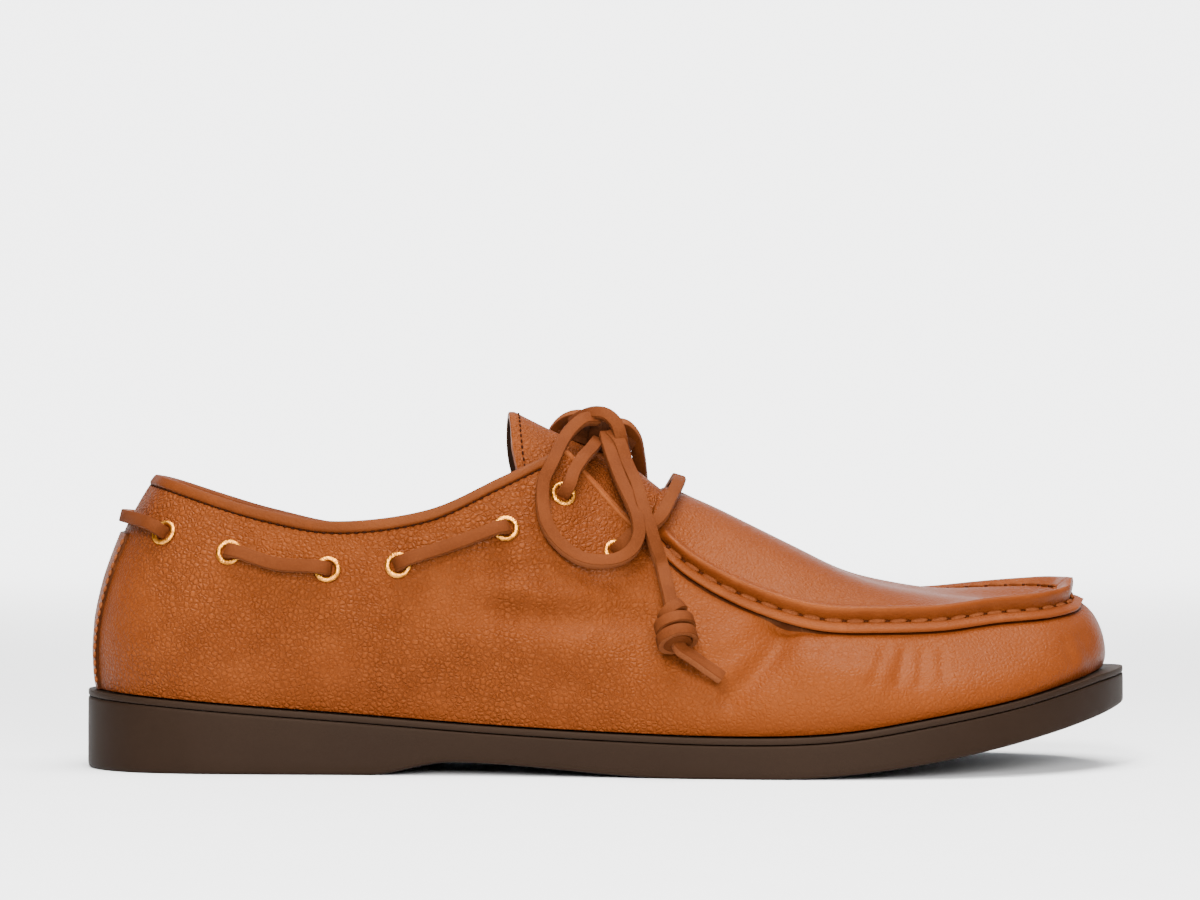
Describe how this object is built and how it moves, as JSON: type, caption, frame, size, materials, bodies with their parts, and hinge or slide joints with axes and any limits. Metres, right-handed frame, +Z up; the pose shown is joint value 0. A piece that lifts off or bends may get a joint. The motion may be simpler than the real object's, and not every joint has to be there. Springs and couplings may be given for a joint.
{
  "type": "boat shoe",
  "caption": "Low moccasin boat shoe with an open collar, hand-sewn apron, tied rawhide lace through side eyelets and a flat rubber sole.",
  "frame": {"origin": "on the floor, under the middle of the shoe's length and ball width", "axes": "+X to the toe, +Y to the big-toe side, +Z up"},
  "size_m": [0.296, 0.1069, 0.1021],
  "materials": {
    "rubber_sole": "matte dark brown",
    "rubber_strip": "matte brown",
    "sock_leather": "smooth, dull",
    "pebbled_leather": "pebbled, semi-gloss tan",
    "binding_leather": "fine grain, tan",
    "tongue_leather": "fine grain, tan",
    "rawhide_lace": "dull rawhide, tan",
    "brass_eyelet": "polished, gold colour"
  },
  "bodies": {
    "root": {"outsole": "rubber_sole", "midsole_strip": "rubber_strip", "insole": "sock_leather", "upper": "pebbled_leather", "collar_binding": "binding_leather", "tongue": "tongue_leather", "eyelet_collar_1_lateral": "brass_eyelet", "eyelet_collar_2_lateral": "brass_eyelet", "eyelet_collar_3_lateral": "brass_eyelet", "eyelet_collar_4_lateral": "brass_eyelet", "eyelet_collar_5_lateral": "brass_eyelet", "eyelet_throat_upper_lateral": "brass_eyelet", "eyelet_throat_lower_lateral": "brass_eyelet", "eyelet_collar_1_medial": "brass_eyelet", "eyelet_collar_2_medial": "brass_eyelet", "eyelet_collar_3_medial": "brass_eyelet", "eyelet_collar_4_medial": "brass_eyelet", "eyelet_collar_5_medial": "brass_eyelet", "eyelet_throat_upper_medial": "brass_eyelet", "eyelet_throat_lower_medial": "brass_eyelet", "lace_heel": "rawhide_lace", "lace_bar": "rawhide_lace", "lace_rear_lateral": "rawhide_lace", "lace_front_lateral": "rawhide_lace", "lace_strand_lateral": "rawhide_lace", "lace_rear_medial": "rawhide_lace", "lace_front_medial": "rawhide_lace", "lace_strand_medial": "rawhide_lace", "lace_knot": "rawhide_lace", "lace_loop_lateral": "rawhide_lace", "lace_end_lateral": "rawhide_lace", "lace_stopper_lateral": "rawhide_lace", "lace_tail_lateral": "rawhide_lace", "lace_loop_medial": "rawhide_lace", "lace_end_medial": "rawhide_lace", "lace_stopper_medial": "rawhide_lace", "lace_tail_medial": "rawhide_lace"}
  },
  "joints": []
}
